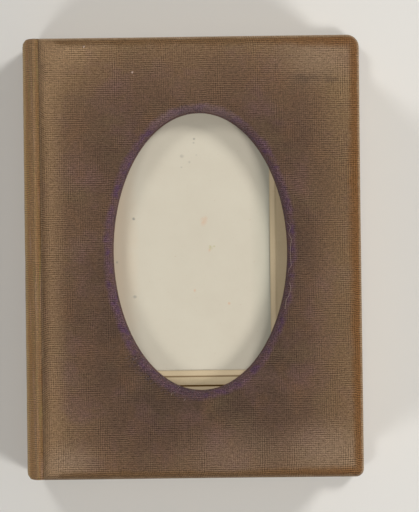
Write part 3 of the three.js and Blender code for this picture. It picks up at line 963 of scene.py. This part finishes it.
def lint_tufts():
    """Specks of lint on the front cover, each a spray of three tufts."""
    tufts = []
    for x, y, length, heading in LINT:
        root = np.array([*from_pixel(x, y), COVER_TOP + CROWN])
        for turn in (-25, 0, 30):
            angle = math.radians(heading + turn)
            direction = np.array([math.cos(angle), math.sin(angle), 0.15])
            tufts.append((root, direction, length * MM, 0.12 * MM, 1.0))
    return tufts


def rim_tufts(material):
    """Pile left standing round the window's rim, frayed clumps, loose threads and lint."""
    random = np.random.default_rng(7)
    tufts = []

    def add(angle, out, length, width, tone, lean, rise):
        root, normal = on_rim(angle, out)
        root = root - np.array([0, 0, 0.10 * MM])
        direction = np.array([*random.normal(0, 0.7, 2), rise]) + normal * lean
        tufts.append((root, direction, length, width, tone))

    band = RIM_BAND * MM
    for angle in random.uniform(0, 2 * np.pi, RIM_TUFTS):
        clump = float(value_noise(angle * 9 + 40, 0.0, 1.0, 5))
        if random.uniform(-1, 1) < 1.6 * clump + 0.5:
            out = min(abs(random.normal(0, 0.5)), 0.95) * band + random.uniform(-0.2, 0.2) * MM
            lean, rise = -0.4, 0.45 + 0.5 * out / band
            if random.uniform() < 0.3:
                out, lean, rise = 0.0, -1.3, 0.1
            add(angle, out, random.uniform(0.3, 0.75) * MM, random.uniform(0.05, 0.11) * MM,
                min(max(random.normal(0.36, 0.18), 0), 0.8), lean, rise)
    for middle, spread, reach, count in FRAYED_CLUMPS:
        for _ in range(count):
            angle = math.radians(random.normal(middle, spread))
            add(angle, random.uniform(0.2, reach) * MM, random.uniform(0.8, 1.7) * MM,
                random.uniform(0.05, 0.10) * MM, random.choice(CLUMP_TONES, p=CLUMP_TONE_SHARES),
                random.uniform(-0.2, 1.2), 0.4)
    tufts += thread_tufts() + lint_tufts()
    return tuft_mesh("rim_pile", tufts, material)


def bar_along_spine(name, loop, outward, shares, caps, tuck, material):
    """A cloth bar along the spine from a closed section, drawn in against its outward
    directions where it nears its ends."""
    half = (COVER_HEAD - COVER_TAIL) / 2 - SPINE_END_GAP
    outside, inside = np.array(loop[:caps]), np.array(loop[caps:][::-1])
    arc = np.append(0, np.cumsum(np.linalg.norm(np.diff(outside, axis=0), axis=1)))
    turned = np.linalg.norm(outside - inside, axis=1)
    arc_at = np.concatenate([arc, arc[::-1]])
    turned_at = np.concatenate([np.zeros(caps), turned[::-1]])
    vertices, cloth, across = [], [], []
    for step in range(SPINE_STEPS + 1):
        y = -half + 2 * half * step / SPINE_STEPS
        from_end = min((half - abs(y)) / SPINE_END_ROUNDING, 1)
        draw = tuck * (1 - math.sqrt(1 - (1 - from_end) ** 2))
        for (x, z), (out_x, out_z), share, run, turn in zip(loop, outward, shares, arc_at, turned_at):
            ripple = float(value_noise(y + 1, z * 1.5 + 1, 9 * MM, 21)) * SPINE_RIPPLE * from_end
            sunk = draw - min(ripple, 0)
            vertices.append((x - out_x * sunk, y, z - out_z * sunk))
            cloth.append((run, y + math.copysign(turn, y), 0))
            across.append(share)
    rows, columns = SPINE_STEPS + 1, len(loop)
    faces = ring_faces(rows, columns, False)
    for first in (0, (rows - 1) * columns):
        for column in range(caps - 1):
            opposite = columns - 1 - column
            faces.append((first + column, first + column + 1, first + opposite - 1, first + opposite))
    piece = add_mesh(name, vertices, faces, {"cloth": np.array(cloth), "across": np.array(across)},
                     material)
    outward_normals(piece)
    return piece


def spine_back(material):
    """The plush over the back of the spine, from one ridge's crest to the other."""
    outer, inner, outward, positions = [], [], [], []
    for angle in np.linspace(-math.pi / 2, math.pi / 2, 61):
        reach, rise = math.cos(angle), math.sin(angle)
        outer.append((SPINE_CREST - SPINE_REACH * reach, MIDDLE_Z + SPINE_HALF_HEIGHT * rise))
        inner.append((SPINE_CREST - SPINE_INNER_REACH * reach, MIDDLE_Z + SPINE_INNER_HALF_HEIGHT * rise))
        z = SPINE_HALF_HEIGHT * rise
        away = np.array([-SPINE_REACH * reach, z - min(max(z, -SPINE_CORE), SPINE_CORE)])
        outward.append(away / np.linalg.norm(away))
        positions.append(-SPINE_REACH * reach / MM)
    return bar_along_spine("spine_back_cloth", outer + inner[::-1], outward + outward[::-1],
                           positions + positions[::-1], len(outer), SPINE_TUCK, material)


def hinge_strip(name, side, material):
    """The plush across one groove, from the ridge's crest into the cover's wall."""
    profile = np.array([
        (-0.50, -0.05), (-0.20, 0.00), (0.05, -0.02), (0.30, -0.12), (0.60, -0.42),
        (0.85, -0.78), (1.10, -1.02), (1.35, -1.06), (1.75, -0.98),
    ]) * MM
    outer = [(SPINE_CREST + x, MIDDLE_Z + side * (SPINE_HALF_HEIGHT + z)) for x, z in profile]
    inner = [(x, z - side * STRIP_SKIN) for x, z in outer]
    positions = [x / MM for x in profile[:, 0]]
    return bar_along_spine(name, outer + inner[::-1], [(0, side)] * (2 * len(outer)),
                           positions + positions[::-1], len(outer), STRIP_TUCK, material)


def plush_finish(nodes, colour, level, pile):
    """Join a colour and the weave's relief to the shader of worn plush."""
    nodes.shader.inputs["Sheen Weight"].default_value = 0.16
    nodes.shader.inputs["Sheen Roughness"].default_value = 0.5
    nodes.shader.inputs["Sheen Tint"].default_value = linear(190, 168, 152)
    surface = nodes.bump(level, 0.14 * MM, 0.7)
    return nodes.finish(colour, 0.92, 0.1, nodes.bump(pile, 0.10 * MM, 0.5, surface))


def rim_colour(nodes, base, cloth, pile):
    """Purple pile left round the window as a band, frayed outside, and smudges near the head."""
    fray = nodes.swing(cloth, 480, 4, 0.7)
    ragged = nodes.scaled(nodes.swing(cloth, 90, 2), 2.4,
                          nodes.scaled(fray, 2.2, nodes.attribute("rim")))
    share = nodes.over(ragged, RIM_BAND * 2)
    standing = nodes.ramp(share, [(0.0, 1.0), (0.33, 0.9), (0.45, 0.45), (0.60, 0.0)])
    tone = nodes.mix(nodes.ramp(pile, [(0.35, 0.0), (0.68, 1.0)]),
                     linear(76, 52, 60), linear(108, 83, 88))
    patch = nodes.ramp(nodes.noise(cloth, 170, 3), [(0.42, 0.0), (0.68, 0.8)])
    tone = nodes.mix(patch, tone, linear(94, 71, 62))
    saturated = nodes.ramp(nodes.noise(nodes.stretch(cloth, (1.0, 1.3, 1.0)), 210, 2),
                           [(0.50, 0.0), (0.66, 0.65)])
    tone = nodes.mix(saturated, tone, linear(76, 50, 82))
    at_head = nodes.ramp(nodes.over(nodes.split(cloth)[1], WINDOW_HALF_HEIGHT),
                         [(0.90, 0.0), (1.0, 0.55)])
    tone = nodes.mix(at_head, tone, linear(120, 98, 92))
    base = nodes.mix(standing, base, tone)
    squeezed = nodes.stretch(cloth, (SMUDGE_SQUEEZE, 1.0, 1.0))
    for across, along, radius, strength in SMUDGES:
        spot = nodes.distance(squeezed, (across * SMUDGE_SQUEEZE, along, 0))
        uneven = nodes.scaled(fray, 5.0 * MM, spot)
        share = nodes.ramp(nodes.over(uneven, radius), [(0.1, strength), (1.0, 0.0)], "EASE")
        base = nodes.mix(share, base, linear(80, 64, 52))
    return base


def on_rim(angle, out):
    """A point of the window's rolled rim at an angle of the oval and a distance outside it."""
    half = np.array([WINDOW_HALF_WIDTH, WINDOW_HALF_HEIGHT])
    circle = np.array([math.cos(angle), math.sin(angle)])
    normal = circle / half
    normal /= np.linalg.norm(normal)
    share = min(max(out / COVER_ROUNDING, 0), 1)
    height = COVER_TOP - COVER_ROUNDING * (1 - math.sqrt(1 - (1 - share) ** 2))
    place = np.array(WINDOW_CENTRE) + half * circle + normal * out
    return np.array([place[0], place[1], height]), np.array([normal[0], normal[1], 0])


def dress(name, material):
    """Give a node of the frame its material."""
    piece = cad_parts[name]
    piece.data.materials.clear()
    piece.data.materials.append(material)


def main():
    """Build the album's soft pieces and dress the frame's nodes."""
    camera_and_light()
    world_and_floor()

    front = cover_plush("front_plush_cloth", plush_material("front_plush_pile", True),
                        COVER_EDGE, 1, True)
    back = cover_plush("back_plush_cloth", plush_material("back_plush_pile", False),
                       HIGH["back_plush"][2], -1, False)
    for piece, node, body in (
        (front, "front_plush", "front_cover"),
        (back, "back_plush", "back_cover"),
    ):
        outward_normals(piece)
        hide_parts(node)
        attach(piece, body)

    spine_cloth = spine_material("spine_pile")
    spine = spine_back(spine_cloth)
    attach(spine, "book_block")
    for name, side, body in (
        ("front_hinge_strip", 1, "front_cover"),
        ("back_hinge_strip", -1, "back_cover"),
    ):
        strip = hinge_strip(name, side, spine_cloth)
        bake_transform(strip)
    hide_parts("spine_plush")

    pile = rim_tufts(tuft_material("rim_pile_fibre"))
    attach(pile, "front_cover")

    lining_tones = (linear(212, 198, 178), linear(204, 188, 166))
    lining = paper_material("lining_paper", *lining_tones, 40)
    cut_lining = paper_material("cut_lining_paper", *lining_tones, 40, linear(108, 82, 74))
    board = paper_material("board_card", linear(150, 128, 98), linear(126, 104, 76), 120)
    for name, material in (
        ("leaves", leaf_material()),
        ("window_card", card_material()),
        ("front_lining", cut_lining),
        ("back_lining", lining),
        ("front_board", board),
        ("back_board", board),
        ("spine_board", board),
    ):
        dress(name, material)

    bpy.context.scene.view_settings.view_transform = "Standard"
    bpy.context.view_layer.update()


main()
